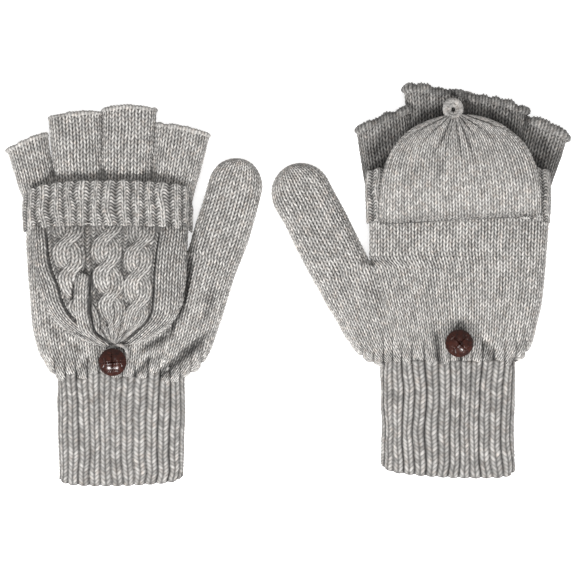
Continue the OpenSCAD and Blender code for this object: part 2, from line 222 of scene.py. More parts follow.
def purl(s, c, seed):
    """The back of stocking stitch: rows of interlocked arcs."""
    c = c + 0.15 * cloud(s * 0.7, c * 0.4, seed)
    q = c + 0.42 * np.cos(2 * math.pi * s)
    f = np.mod(q, 1)
    tone = scatter(np.floor(s), np.floor(q), seed + 2)
    arc = np.sin(math.pi * f) ** 1.1 * (0.72 + 0.25 * np.cos(2 * math.pi * s + math.pi))
    return arc * (0.75 + 0.3 * tone), tone


# ---- meshes ----

def normals_of(rings):
    """Unit normals of a closed loft, pointing out of it."""
    round_ring = np.roll(rings, -1, axis=1) - np.roll(rings, 1, axis=1)
    along = np.gradient(rings, axis=0)
    n = np.cross(round_ring, along)
    return n / np.maximum(np.linalg.norm(n, axis=2, keepdims=True), 1e-9)


def outward(rings):
    """1 if normals_of points out of a loft as wound, and -1 if it points in."""
    away = rings - rings.mean(axis=1, keepdims=True)
    return 1.0 if (normals_of(rings) * away).sum() > 0 else -1.0


class Mitten:
    """One mitten's place in the pair, its outlines and its bodies."""

    def __init__(self, side):
        low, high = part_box(f"{side}_cuff")
        self.side = side
        self.left = side == "left"
        self.flip = 1 if self.left else -1
        self.x = (low.x + high.x) * 500
        self.y = low.y * 1000
        self.shape = OUTLINES[side]
        self.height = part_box(f"{side}_hand_knuckles")[1].z * 1000 - 0.3
        self.seed = 11 if self.left else 47
        self.button = self.shape["button"]
        self.crotch = self.shape["knuckles"][0][0]
        self.body = f"{side}_mitten"
        self.hood_body = f"{side}_hood"

    def to_row(self, points):
        """From the mitten's frame in millimetres to the row frame in metres."""
        out = np.array(points, float)
        out[..., 0] = self.x + self.flip * out[..., 0]
        out[..., 1] += self.y
        return out * 0.001

    def place(self, u, v, z):
        return tuple(float(c) for c in self.to_row([u, v, z]))


def link_object(name, data):
    made = bpy.data.objects.new(name, data)
    bpy.context.collection.objects.link(made)
    return made


def quad_grid(rows, cols, turned):
    """Vertex numbers of the quads of a loft that closes round each ring."""
    i, j = np.meshgrid(np.arange(rows - 1), np.arange(cols), indexing="ij")
    k = (j + 1) % cols
    quads = stack(i * cols + j, i * cols + k, (i + 1) * cols + k, (i + 1) * cols + j).reshape(-1, 4)
    return quads[:, ::-1] if turned else quads


def loft(name, mitten, rings, stitch, look, material, smooth_caps=False):
    """A closed mesh from rings of points, capped at both ends.

    stitch is (s, c) for each point, and look is (tone, height, light) for each point. The material makes low
    height into painted shade between the stitches, and light is painted light and shade.
    """
    rows, cols = rings.shape[:2]
    centres = [rings[0].mean(axis=0), rings[-1].mean(axis=0)]
    points = join(rings.reshape(-1, 3), centres)
    points[:, 2] = np.maximum(points[:, 2], LOWEST)
    points = mitten.to_row(points)
    turned = (outward(rings) < 0) != (mitten.flip < 0)
    quads = quad_grid(rows, cols, turned)
    ring = np.arange(cols)
    after = (ring + 1) % cols
    last = (rows - 1) * cols
    start_fan = stack(after, ring, np.full(cols, rows * cols))
    end_fan = stack(last + ring, last + after, np.full(cols, rows * cols + 1))
    fans = join(start_fan, end_fan)
    if turned:
        fans = fans[:, ::-1]
    corners = join(quads.reshape(-1), fans.reshape(-1)).astype(np.int32)
    fan_starts = len(quads) * 4 + np.arange(len(fans)) * 3
    starts = join(np.arange(len(quads)) * 4, fan_starts).astype(np.int32)

    mesh = bpy.data.meshes.new(name)
    mesh.vertices.add(len(points))
    mesh.vertices.foreach_set("co", points.astype(np.float32).reshape(-1))
    mesh.loops.add(len(corners))
    mesh.loops.foreach_set("vertex_index", corners)
    mesh.polygons.add(len(starts))
    mesh.polygons.foreach_set("loop_start", starts)
    rounded = np.ones(len(starts), bool)
    rounded[len(quads):] = smooth_caps
    mesh.polygons.foreach_set("use_smooth", rounded)
    mesh.update(calc_edges=True)

    values = np.ones((len(points), 4), np.float32)
    place = np.zeros((len(points), 3), np.float32)
    for table, columns in ((values, look), (place, stitch)):
        for k, column in enumerate(columns):
            table[:-2, k] = np.broadcast_to(column, (rows, cols)).reshape(-1)
    mesh.attributes.new("yarn", "FLOAT_COLOR", "POINT").data.foreach_set("color", values.reshape(-1))
    mesh.attributes.new("stitch", "FLOAT_VECTOR", "POINT").data.foreach_set("vector", place.reshape(-1))
    mesh.materials.append(material)
    return link_object(name, mesh)


def fit_out(piece, body, slot, *nodes):
    """What every piece needs: the body it rides on, and the CAD nodes it stands for, which it hides. slot is
    not used.
    """
    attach(piece, body)
    if nodes:
        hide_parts(*nodes)


# ---- flattened tubes ----

def section(e, width, near, far):
    """Where fabric coordinate e lies across a flattened tube: its offset from the near edge, and its rise
    from 0 at the tube's middle height to 1 at its top. near and far are the radii of the two folds.
    """
    a = np.clip((near - e) / near, 0, math.pi / 2)
    b = np.clip((e - width + far) / far, 0, math.pi / 2)
    flat = np.clip(e, near, width - far)
    return flat - near * np.sin(a) + far * np.sin(b), np.cos(a) * np.cos(b)


def flat_tube(near_edge, far_edge, near, far, middle, half, cols, fabric=None):
    """Rings of a flattened tube. The edges are (rows, 2) points, and the rest are one number for each row.
    fabric(share) gives the fabric coordinate for shares from 0 to 1 across the front.
    """
    near, far, middle, half = (np.broadcast_to(a, len(near_edge))[:, None] for a in (near, far, middle, half))
    span = far_edge - near_edge
    width = np.linalg.norm(span, axis=1)[:, None]
    share = ((np.arange(cols) + 0.5) / cols)[None, :]
    if fabric is None:
        e = -FOLD * near + (width + FOLD * (near + far)) * share
    else:
        e = fabric(share)
    offset, rise = section(e, width, near, far)
    along = (span / width)[:, None, :]
    front = near_edge[:, None, :] + along * offset[..., None]
    rings = np.empty((len(near_edge), 2 * cols, 3))
    rings[:, :cols, :2] = front
    rings[:, cols:, :2] = front[:, ::-1]
    rings[:, :cols, 2] = middle + half * rise
    rings[:, cols:, 2] = (middle - half * rise)[:, ::-1]
    return rings


def ring_stitches(wales, cols, rows):
    """Stitch coordinates of a tube with that many wales across its front."""
    s = (np.arange(2 * cols) + 0.5) / cols * wales
    c = np.arange(rows) * ROW / COURSE
    return np.broadcast_to(s[None, :], (rows, 2 * cols)), np.broadcast_to(c[:, None], (rows, 2 * cols))


def wale_width(rings, wales, cols):
    """Local width of the wales, as a share of their relaxed width."""
    step = np.linalg.norm(np.roll(rings, -1, axis=1) - rings, axis=2)
    return np.clip(step * cols / wales / WALE, 0.15, 1.15)


def creases(rings, lines):
    """How deep the fabric is pushed in along each crease."""
    depth = np.zeros(rings.shape[:2])
    for start, end, width, deep in lines:
        a, b = np.array(start, float), np.array(end, float)
        d = b - a
        f = np.clip(((rings[..., :2] - a) @ d) / (d @ d), -0.3, 1.3)
        gap = np.linalg.norm(rings[..., :2] - a - f[..., None] * d, axis=-1)
        ends = smooth((f + 0.3) / 0.5) * smooth((1.3 - f) / 0.5)
        depth += deep * ends * (bell(gap, width) - 0.35 * bell(gap - 2 * width, width))
    return depth


def undulation(rings, seed, scale=13.0):
    """Soft waves in the fabric, with lumps one scale wide."""
    return cloud(rings[..., 0] / scale, rings[..., 1] / scale, seed)


def crease_shade(macro):
    """How much of its brightness the fabric keeps where it is pushed in."""
    return 1 - 0.3 * np.clip(-macro - 0.5, 0, 1.6)


def knit(rings, s, c, wales, cols, seed, macro, shade=1.0):
    """Raises stitches on a smooth loft. Returns its points and their (tone, height, light); shade lowers the
    height from which the colour is made, as painted shade.
    """
    height, tone = plain(s, c, seed)
    n = normals_of(rings) * outward(rings)
    size = wale_width(rings, wales, cols)
    out = rings + n * (macro + STITCH_RELIEF * size * (height - FLUSH))[..., None]
    return out, (tone, height * shade, np.ones_like(tone))


# ---- the hand ----

def thumb_line(m, v):
    """The line on which the hand's fabric meets the thumb's, from the crotch down to the cuff."""
    heel = m.shape["heel"]
    _, little, outer = heel[-1]
    inner = m.shape["knuckles"][0][2]
    share = (inner - little) / (outer - little)
    inward = outer - curve(v, heel, 2)
    widening = curve(v, heel, 1) - little
    return inner - inward * share ** GUSSET_LEAN + widening * (1 - share) ** GUSSET_LEAN


def inner_fold(m, v):
    """Radius of the fold at the thumb line: round above the crotch, and sharp lower down."""
    return lerp(0.3, m.height / 2, smooth((v - m.crotch + 6) / 6.5) ** 1.3)


def hand_edge(m, v):
    """The hand's own edge on the thumb's side, above and below the crotch."""
    above = curve(np.maximum(v, m.crotch), m.shape["knuckles"], 2)
    return np.where(v >= m.crotch, above, thumb_line(m, np.minimum(v, m.crotch)))


def little_edge(m, v):
    table = m.shape["heel"] + m.shape["knuckles"][1:]
    return curve(v, table, 1)


def hand_rings(m, v, cols):
    """The tube from the cuff to the fingers, whose wales lean towards the thumb below its crotch."""
    r = m.height / 2
    left, right = little_edge(m, v), hand_edge(m, v)
    far = inner_fold(m, v)
    lowest_v = CUFF_TOP - 1.0

    def far_fabric(vv):
        return hand_edge(m, vv) + FOLD * inner_fold(m, vv)

    at_crotch = far_fabric(np.array([m.crotch]))[0]
    left_c = little_edge(m, np.array([m.crotch]))[0] - FOLD * r

    def fabric(share):
        depth = soft_ramp(m.crotch - v[:, None], 17 * (1 - share) + 0.5)
        below = at_crotch - far_fabric(np.maximum(m.crotch - depth, lowest_v))
        above = np.where(v > m.crotch, far_fabric(v) - at_crotch, 0)[:, None]
        lean = (left - FOLD * r - left_c)[:, None] * (1 - share) ** 1.5
        e = lerp(left_c, at_crotch, share) + lean - below * share ** GUSSET_LEAN + above * share
        return e - left[:, None]

    half = lerp(CUFF_HALF_HEIGHT, r, smooth((v - CUFF_TOP) / 10))
    return flat_tube(stack(left, v), stack(right, v), r, far, half, half, cols, fabric)


def rib_relief(position, sharp):
    """The cross-section of ribs: 1 on a rib and 0 in the gutter between two."""
    return 1 - np.abs(np.mod(position, 1) * 2 - 1) ** sharp


def cuff_count(m):
    """How many ribs go round the cuff."""
    return round((2 * m.shape["cuff_half"] + TWO_FOLDS) / RIB_PITCH * 2)


def rib_position(m, share, v):
    """Which rib a point is on, for its share of the cuff's flat front, with the ribs' slight wander."""
    wander = 0.34 * cloud(share * 4 + 7, v / 22, m.seed + 3) * smooth(v / 8)
    return share * cuff_count(m) / 2 + m.shape["rib_phase"] + wander


def rib_end(m, position):
    """How far up each rib is still the cuff's: every rib has its own end."""
    return RIB_END[0] + RIB_END[1] * own_number(position, m.seed + 8)


def heel_ribs(m, rings):
    """The cuff's ribs as they run on into the hand, and the painted shade in their gutters: the brightness
    left there.
    """
    reach = m.shape["cuff_half"] - 0.5 + FOLD * CUFF_HALF_HEIGHT
    position = rib_position(m, (rings[..., 0] + reach) / (2 * reach), rings[..., 1])
    past_end = rings[..., 1] - rib_end(m, position)
    own = own_number(position, m.seed + 10)
    fade = 1 - smooth((past_end - 2) / (9 + 17 * own))
    relief = rib_relief(position, RIB_SHARP * 0.7)
    tucked_in = 2.6 * (1 - smooth(past_end / 5))
    return 1.3 * RIB_DEPTH * fade * (relief - FLUSH) - tucked_in, lerp(1, smooth(0.3 + 0.8 * relief), fade)


def knit_hand(m, rings, wales, cols, wave, seeds, dent=0.0):
    """Knits a tube of the hand, with its creases, the cuff's ribs that run on into it and soft waves.

    seeds are the waves' and the stitches', and dent is how far the upper face is pulled in. Returns its
    points, its stitch coordinates and its (tone, height, light).
    """
    s, c = ring_stitches(wales, cols, len(rings))
    upper = rings[..., 2] > m.height * 0.55
    macro = np.where(upper, -creases(rings, HEEL_CREASES[m.side]), 0) + wave * undulation(rings, seeds[0])
    ribs, between = heel_ribs(m, rings)
    macro = macro + ribs - dent * upper
    # Painted shade: the colour darkens in the ribs' gutters and in the creases.
    points, look = knit(rings, s, c, wales, cols, seeds[1], macro, between * crease_shade(macro))
    return points, (s, c), look


def make_hand(m, wool):
    """The tube from the cuff to the fingers, cut into its lower and upper piece at the thumb's crotch."""
    # The last rows run on inside the finger stubs.
    v = np.arange(54.2, 151.2, ROW)
    width = hand_edge(m, np.array([m.crotch]))[0] - m.shape["heel"][-1][1]
    wales = round((width + TWO_FOLDS) / WALE)
    cols = wales * PER_WALE
    rings = hand_rings(m, v, cols)
    # The button pulls the fabric in round its thread.
    from_button = np.hypot(rings[..., 0] - m.button[0], rings[..., 1] - m.button[1])
    dent = 0.9 * bell(from_button, 6.5)
    points, stitch, look = knit_hand(m, rings, wales, cols, 0.35, (m.seed, m.seed), dent)
    cut = int(np.searchsorted(v, m.crotch + 0.3))
    for name, node, rows in (("heel_knit", "hand_heel", slice(0, cut + 1)),
                             ("knuckles_knit", "hand_knuckles", slice(cut, len(v)))):
        own_stitch, own_look = ([a[rows] for a in table] for table in (stitch, look))
        piece = loft(f"{m.side}_{name}", m, points[rows], own_stitch, own_look, wool)
        fit_out(piece, m.body, "plain_knit", f"{m.side}_{node}")


def make_thumb(m, wool):
    """The thumb's tube, which runs on below the crotch as the gusset between the thumb line and the edge."""
    spec = m.shape["thumb"]
    turn = math.radians(spec["turn"][0])
    across = np.array([math.cos(turn), -math.sin(turn)])
    crotch = np.array([m.shape["knuckles"][0][2] + 0.3, m.crotch])
    width = (m.shape["heel"][-1][2] - crotch[0]) * math.cos(turn)
    outer_v = m.crotch - width * math.sin(turn)
    r = m.height / 2
    tip = spec["half"][1] + 0.8

    # The gusset starts at this v, and runs this far under the hand's edge.
    low, overlap = 56.0, 2.4
    path = (m.crotch - low + outer_v - low) / 2 * 1.08
    k = np.arange(0, 1, ROW / path)
    inner_v, far_v = lerp(low, m.crotch, k), lerp(low + 0.5, outer_v, k)
    under = overlap * (1 - smooth((inner_v - m.crotch + 6) / 6))
    gusset_near = stack(thumb_line(m, inner_v) + 0.3 * k - under, inner_v)
    gusset_far = stack(curve(far_v, m.shape["heel"], 2), far_v)

    straight = np.arange(0, spec["length"] - tip, ROW)
    turn_in = np.arange(0, math.pi / 2 - 0.05, ROW / tip)
    dist = join(straight, spec["length"] - tip + tip * np.sin(turn_in))
    along = dist / spec["length"]
    angle = np.radians(lerp(*spec["turn"], along))
    step = np.diff(dist, prepend=0)
    bent = stack(np.cumsum(step * np.sin(angle)), np.cumsum(step * np.cos(angle)))
    middle = crotch + across * width / 2 + bent
    half_w = lerp(width / 2, lerp(*spec["half"], along), smooth(dist / 14))
    half_w = half_w * join(np.ones(len(straight)), np.cos(turn_in))
    sideways = stack(np.cos(angle), -np.sin(angle)) * half_w[:, None]
    near_edge = join(gusset_near, middle - sideways)
    far_edge = join(gusset_far, middle + sideways)

    span = np.linalg.norm(far_edge - near_edge, axis=1)
    height = join(np.full(len(k), r), r - 0.5 * smooth(dist / 40))
    closing = join(np.ones(len(k) + len(straight)), arch(np.cos(turn_in) * 1.35))
    near = join(np.maximum(inner_fold(m, inner_v), 0.35 * overlap), np.full(len(dist), r))
    near, far = np.minimum(near, span * 0.47), np.minimum(r, span * 0.47)
    wales = round((width + TWO_FOLDS) / WALE)
    cols = wales * PER_WALE
    rings = flat_tube(near_edge, far_edge, near, far, height, height * closing, cols)
    points, stitch, look = knit_hand(m, rings, wales, cols, 0.3, (m.seed + 5, m.seed + 9))
    piece = loft(f"{m.side}_thumb_knit", m, points, stitch, look, wool)
    fit_out(piece, m.body, "plain_knit", f"{m.side}_thumb")


# ---- the cuff ----

def make_cuff(m, wool):
    """The ribbed tube: V stitches on each rib, and a gutter between two, darkened in the colour as painted
    shade.
    """
    half = m.shape["cuff_half"] - 0.5
    # The last rows run on inside the hand.
    v = np.arange(0.4, 64.5, ROW)
    rib_cols = 14
    cols = cuff_count(m) * rib_cols // 2
    edge = half + 0.45 * np.sin(v / 15 + m.seed)
    rings = flat_tube(stack(-edge, v), stack(edge, v), *[CUFF_HALF_HEIGHT] * 4, cols)
    lowest, middle = m.shape["mouth"]
    u = rings[..., 0]
    bow = lowest + 0.0016 * (u - middle) ** 2 + 3.8 * (np.abs(u) / (half + 0.6)) ** 14
    rings[..., 1] += bow * np.exp(-v[:, None] / 13)
    share = (np.arange(2 * cols) + 0.5)[None, :] / cols
    ribs = rib_position(m, share, v[:, None])
    within = np.mod(ribs, 1)
    s = np.floor(ribs) + np.clip((within - 0.04) / 0.92, 0, 0.9999)
    c = np.broadcast_to(v[:, None] / COURSE, s.shape)
    height, tone = plain(s, c, m.seed + 13)
    from_middle = np.abs(2 * within - 1)
    gutter = smooth((from_middle - 0.88) / 0.08)
    depth = 0.3 + 0.6 * own_number(ribs + 0.5, m.seed + 16)
    bump = np.abs(np.sin(math.pi * (c + cloud(ribs * 0.5, c / 4, m.seed + 14))))
    height = height * (1 - 0.4 * bell(within - 0.5, 0.06))
    own = scatter(np.floor(2 * ribs), np.floor(c + 0.25), m.seed + 17)
    height = lerp(0.27 + (0.46 + 0.2 * own) * height, 0.3 + 0.3 * bump, gutter)
    into_heel = smooth((v[:, None] - rib_end(m, ribs) - 2.4) / 3)
    relief = rib_relief(ribs, RIB_SHARP)
    lift = RIB_DEPTH * depth * (relief - FLUSH) + 0.95 * (height - FLUSH) - 2.4 * into_heel
    n = normals_of(rings) * outward(rings)
    outer = rings + n * (lift + 0.25 * undulation(rings, m.seed + 15, 9.0))[..., None]
    # Each rib's end reaches a little further than the gutters beside it.
    outer[..., 1] -= (rib_relief(ribs, 2.0) - 0.5) * np.exp(-v[:, None] / 2.5)
    # Painted shade: the gutters are darkened in the colour, more where they are deeper.
    shade = height * (1 - 0.8 * depth * smooth((from_middle - 0.87) / 0.08))

    # The mouth rounds over the fabric's thickness, and the inner face goes back up the sleeve.
    thick = 2.6
    lip = []
    for a in np.radians(np.linspace(180, 20, 8)):
        forward = np.array([0, 0.5 + 0.35 * math.sin(a), 0])
        lip.append(outer[0] - n[0] * thick * (1 - math.cos(a)) / 2 - forward)
    inner = [rings[k] - n[k] * thick for k in (56, 44, 32, 22, 12, 5)]
    points = join(inner, lip, outer)
    pad = np.full((len(inner) + len(lip), 2 * cols), 0.35)
    look = (join(pad + 0.1, tone), join(pad, shade), np.ones(points.shape[:2]))
    stitch = (join(np.broadcast_to(s[0], pad.shape), s), join(0 * pad, c))
    piece = loft(f"{m.side}_cuff_knit", m, points, stitch, look, wool)
    fit_out(piece, m.body, "ribbed_knit", f"{m.side}_cuff")


# ---- finger stubs ----

def rolled_edge(m, rings, rim, share, seed):
    """The bound-off edge, which rolls outwards in lumps, and then the fabric's inner face down the finger.

    Returns their points, and the stitch height and tone of the rolled part.
    """
    n = normals_of(rings)[-1] * outward(rings)
    axis = unit(rings[-1] - rings[-8])
    frill, thick = (0.8, 1.35) if m.left else (1.9, 2.6)
    thick = thick * (0.72 + 0.28 * np.abs(np.sin(math.pi * share)) ** 0.5)
    wave = cloud(rim / 1.9, 0 * rim + 0.37, seed + 2) + 0.35 * cloud(rim / 0.7, 0 * rim, seed + 6)
    wave = frill * wave
    lump = 1 + 0.1 * cloud(rim / 0.4, 0 * rim, seed + 3) + 0.3 * cloud(rim / 0.9, 0 * rim, seed + 7)
    roll = np.radians(np.linspace(-75, 215, 15))
    round_lip, along_rim = np.meshgrid(roll, rim, indexing="ij")
    curled, tone = plain(along_rim, 1.3 * round_lip, seed + 9)
    lip = []
    for angle, stitches in zip(roll, curled):
        reach = thick * lump * (0.78 + 0.38 * stitches)
        forward = 0.5 + 0.45 * wave + reach * (0.9 * np.sin(angle) + 0.3)
        upward = reach * np.cos(angle) - 0.4 + 0.3 * wave
        lip.append(rings[-1] + axis * forward[:, None] + n * upward[:, None])
    back = [rings[-1 - k] - n * KNIT_T for k in (2, 12, 28, 50)]
    return join(lip, back), 0.15 + 0.55 * curled * lump + (0.15 if m.left else 0), tone


def make_stub(m, i, wool):
    """One open half finger, with its bound-off edge."""
    webs, tip = m.shape["webs"], np.array(m.shape["tips"][i], float)
    base = np.array([[webs[i], STUB_BASE], [webs[i + 1], STUB_BASE]])
    length = np.linalg.norm(tip.mean(axis=0) - base.mean(axis=0))
    dist = np.arange(-4.5, length, ROW)
    f = (dist / length)[:, None]
    near_edge, far_edge = lerp(base[0], tip[0], f), lerp(base[1], tip[1], f)
    spread = unit(far_edge - near_edge) * (0.65 - 0.25 * f ** 2)
    near_edge, far_edge = near_edge - spread, far_edge + spread
    top = lerp(m.height - 1, m.height - 2.6, f[:, 0])
    foot = 0.4 * (1 - f[:, 0])
    middle, half = (top + foot) / 2, (top - foot) / 2
    wales = round((np.linalg.norm(far_edge[-1] - near_edge[-1]) + 6) / WALE)
    cols = wales * PER_WALE
    rings = flat_tube(near_edge, far_edge, half, half, middle, half, cols)
    s, c = ring_stitches(wales, cols, len(dist))
    share = (np.arange(2 * cols) + 0.5) / cols
    front = share < 1
    bow = 2.0 if i == 2 and m.left else 0.9
    bow = bow * np.sin(math.pi * np.where(front, share, 2 - share)) ** 1.5
    rings[..., 1] += bow[None, :] * smooth(f * 1.6 - 0.6)
    seed = m.seed + 21 + 5 * i
    # Under the raised hood the stubs are pressed flat, and their open ends curl up.
    hollow = 0.0 if m.left else 1.0
    across = np.sin(math.pi * np.clip(share, 0, 1)) ** 0.6 * front
    pressed = hollow * across[None, :] * smooth(f / 0.3) * (1 - smooth((f - 0.70) / 0.26))
    rings[..., 2] -= 5.2 * pressed
    points, look = knit(rings, s, c, wales, cols, seed, 0.3 * undulation(rings, seed, 7.0))
    # Painted shade: under the raised hood the right stubs are darkened in the colour, as if in its shadow;
    # this stays in every pose.
    light = 1 - hollow * (0.42 + 0.2 * pressed)

    edge, roll_height, roll_tone = rolled_edge(m, rings, s[0], share, seed)
    points = join(points, edge)
    beyond, inside = (len(edge), 2 * cols), (len(edge) - len(roll_height), 2 * cols)
    tone = join(look[0], roll_tone, np.full(inside, 0.5))
    height = join(look[1], roll_height, np.full(inside, 0.3))
    # Painted shade on the rolled ends as well: slight on the left, deep under the right hood.
    light = join(light * np.ones_like(look[0]), np.full(beyond, 0.95 - 0.31 * hollow))
    further = c[-1, 0] + np.arange(1, len(edge) + 1)[:, None] * 0.3
    stitch = (join(s, np.broadcast_to(s[0], beyond)), join(c, np.broadcast_to(further, beyond)))
    piece = loft(f"{m.side}_{FINGERS[i]}_stub_knit", m, points, stitch, (tone, height, light), wool)
    fit_out(piece, m.body, "plain_knit", f"{m.side}_{FINGERS[i]}_stub")


# ---- the rib band ----

def band_fabric(m, wander, vs):
    """Knitted ribs with purl between: lift, stitch height, tone, share of knit and stitch coordinates."""
    within = np.mod(wander, 1)
    knit_share, margin = 0.38, 0.06
    is_knit = smooth((knit_share / 2 + margin - np.abs(within - 0.5)) / (2 * margin))
    c = vs[None, :] / COURSE + 0 * within
    s_knit = (within - 0.5 + knit_share / 2) / knit_share + 2 * np.floor(wander)
    h_knit, t_knit = plain(s_knit, c, m.seed + 35)
    s_purl = 1.2 * np.mod(within + 0.5, 1) / (1 - knit_share) + 2 * np.floor(wander + 0.5)
    h_purl, t_purl = purl(s_purl, c * 1.35, m.seed + 37)
    over_knit = (within - 0.5 + knit_share / 2 + margin) / (knit_share + 2 * margin)
    ridge = np.sin(math.pi * np.clip(over_knit, 0, 1))
    lift = is_knit * (0.45 * ridge + 0.55 * h_knit) + (1 - is_knit) * (0.8 * h_purl - 0.6)
    height = is_knit * (0.05 + 0.95 * h_knit) + (1 - is_knit) * (0.04 + 0.9 * h_purl)
    return lift, height, np.where(is_knit > 0.5, t_knit, t_purl), is_knit, (s_knit, c)


def make_band(m, wool):
    """A turned strip of rib that lies over the knuckles. Its rings run round its own cross-section."""
    _, little, thumb = m.shape["knuckles"][-1]
    mid_u, flat = (little + thumb) / 2, (thumb - little - m.height) / 2
    thick = 2.7 if m.left else 2.0
    under_r = m.height / 2 + 0.2
    end_angle = math.radians(17)
    bend = (under_r + thick) * (math.pi / 2 - end_angle)
    total = 2 * (flat + bend)
    ribs = round(total / BAND_PITCH)
    rib_cols = 16
    cols = ribs * rib_cols
    share = np.arange(cols + 1) / cols
    q = (share - 0.5) * total
    a = np.clip((np.abs(q) - flat) / (under_r + thick), 0, math.pi / 2)
    low, length = (SEAM_V + 4.3, 21.5) if m.left else (SEAM_V + 1.8, 26.0)
    # Round the cross-section: over the outer face, round the far rim, back under and round the near rim.
    v_out = np.arange(0, length + 1e-6, ROW)
    v_in = np.linspace(length - 0.8, 0.8, 6)
    rim = np.radians(np.linspace(0, 180, 7))[1:-1]
    vs = join(v_out, length + 0.9 * np.sin(rim), v_in, -0.9 * np.sin(rim))
    depth = join(0 * v_out, thick * (1 - np.cos(rim)) / 2, 0 * v_in + thick, thick * (1 + np.cos(rim)) / 2)
    is_out = join(0 * v_out + 1, np.cos(rim) * 0.5 + 0.5, 0 * v_in, 0.5 - np.cos(rim) * 0.5)[None, :]
    rib = q / total * ribs + 0.35 + 0.12 * cloud(q / 9, q * 0, m.seed + 31)
    wander = rib[:, None] + 0.16 * cloud(q[:, None] / 9, vs[None, :] / 8, m.seed + 33)
    lift, height, tone, is_knit, stitch = band_fabric(m, wander, vs)
    thin = lerp(1, 0.45, smooth(a / (math.pi / 2) * 1.2))[:, None]
    radius = under_r + (thick - depth[None, :]) * thin + is_out * (lift * 0.95 - 0.4)
    puff = 0.45 * np.sin(math.pi * np.clip(vs / length, 0, 1))[None, :] * is_out
    radius = radius + puff + 0.3 * cloud(q[:, None] / 11, vs[None, :] / 8, m.seed + 39)
    droop = 3.4 * np.abs(2 * share - 1) ** 3
    scallop = 0.45 * (is_knit - 0.5) * smooth((np.abs(vs / length - 0.5) - 0.4) / 0.1)[None, :]
    sag = 3.4 * np.clip(-q / q.max(), 0, 1) ** 4 if m.left else 0 * q
    top_bow = smooth(vs / length)[None, :] * (1.3 * (1 - (q / q.max()) ** 2) - sag)[:, None]
    crown = 0.4 * (1 - np.clip(np.abs(q) / flat, 0, 1) ** 2)
    out_u = np.minimum(np.abs(q), flat)[:, None] + radius * np.sin(a)[:, None]
    rings = np.empty((cols + 1, len(vs), 3))
    rings[..., 0] = mid_u + np.sign(q)[:, None] * out_u
    rings[..., 1] = low + vs[None, :] - droop[:, None] + top_bow + scallop * np.sign(vs - length / 2)[None, :]
    rings[..., 2] = m.height / 2 + radius * np.cos(a)[:, None] + crown[:, None]
    # Painted shade: the band's inner face, which lies under it, is darkened in the colour, and so are its
    # rims towards that face.
    look = (tone, height * (0.35 + 0.65 * is_out), 1)
    piece = loft(f"{m.side}_band_knit", m, rings, stitch, look, wool)
    fit_out(piece, m.body, "ribbed_knit", f"{m.side}_rib_band")


# ---- the hood ----

CABLES = [(-0.51, 0.212), (-0.03, 0.2), (0.38, 0.19)]  # middle and half-width, as shares of half the hood
CABLE_STEP = 16.2      # from one crossing to the next
CABLE_PHASE = [0.214, 0.36, 0.07]
LANE = 0.46            # how far a strand swings to each side, as a share of its cable's half-width
STRAND_HALF = 0.54     # half-width of a strand, in the same measure
STEEP = 1.15           # how quickly the strands change lanes at a crossing
HOOD_HALF = 41         # half the width over which a hood's wales are counted
HOOD_BACK_COLS = 24    # grid columns across the hood's inner face
NOWHERE = -9           # a level below all fabric
GUTTERS = [-0.765, 0.594]  # the two outer gutters, as shares of half the hood
# Where the two outer gutters run on the left hood, as [distance from the seam, u].
GUTTER_PATHS = [[[0, -38.9], [18, -36.6], [29, -32.6], [37, -30.2], [45, -25.9], [62, -6]],
                [[0, 20.4], [23, 17.8], [35, 17.3], [45, 15.5], [62, -1]]]
ROLL_PATH = [[22, -19.6], [32, -20.6], [46, -19.7], [54, -17], [62, -6]]  # the middle of the rolled fold
ROLL_HALF = 4.0        # half its width


def fabric_share(t, little_gutter, thumb_gutter, scale):
    """Where a point lies across the flat panel, for the places of the two outer gutters in its row.

    The cables between the gutters are gathered to fit. Beyond them the wales keep their width.
    """
    between = lerp(GUTTERS[0], GUTTERS[1], (t - little_gutter) / (thumb_gutter - little_gutter))
    beyond_little = GUTTERS[0] + (t - little_gutter) * scale
    beyond_thumb = GUTTERS[1] + (t - thumb_gutter) * scale
    return np.where(t < little_gutter, beyond_little, np.where(t > thumb_gutter, beyond_thumb, between))


def lay_over(fabric, level, stitch, tone):
    """The higher of two layers at each point. fabric is the first one's (level, stitch height, tone)."""
    wins = level > fabric[0]
    return [np.where(wins, new, old) for new, old in zip((level, stitch, tone), fabric)]


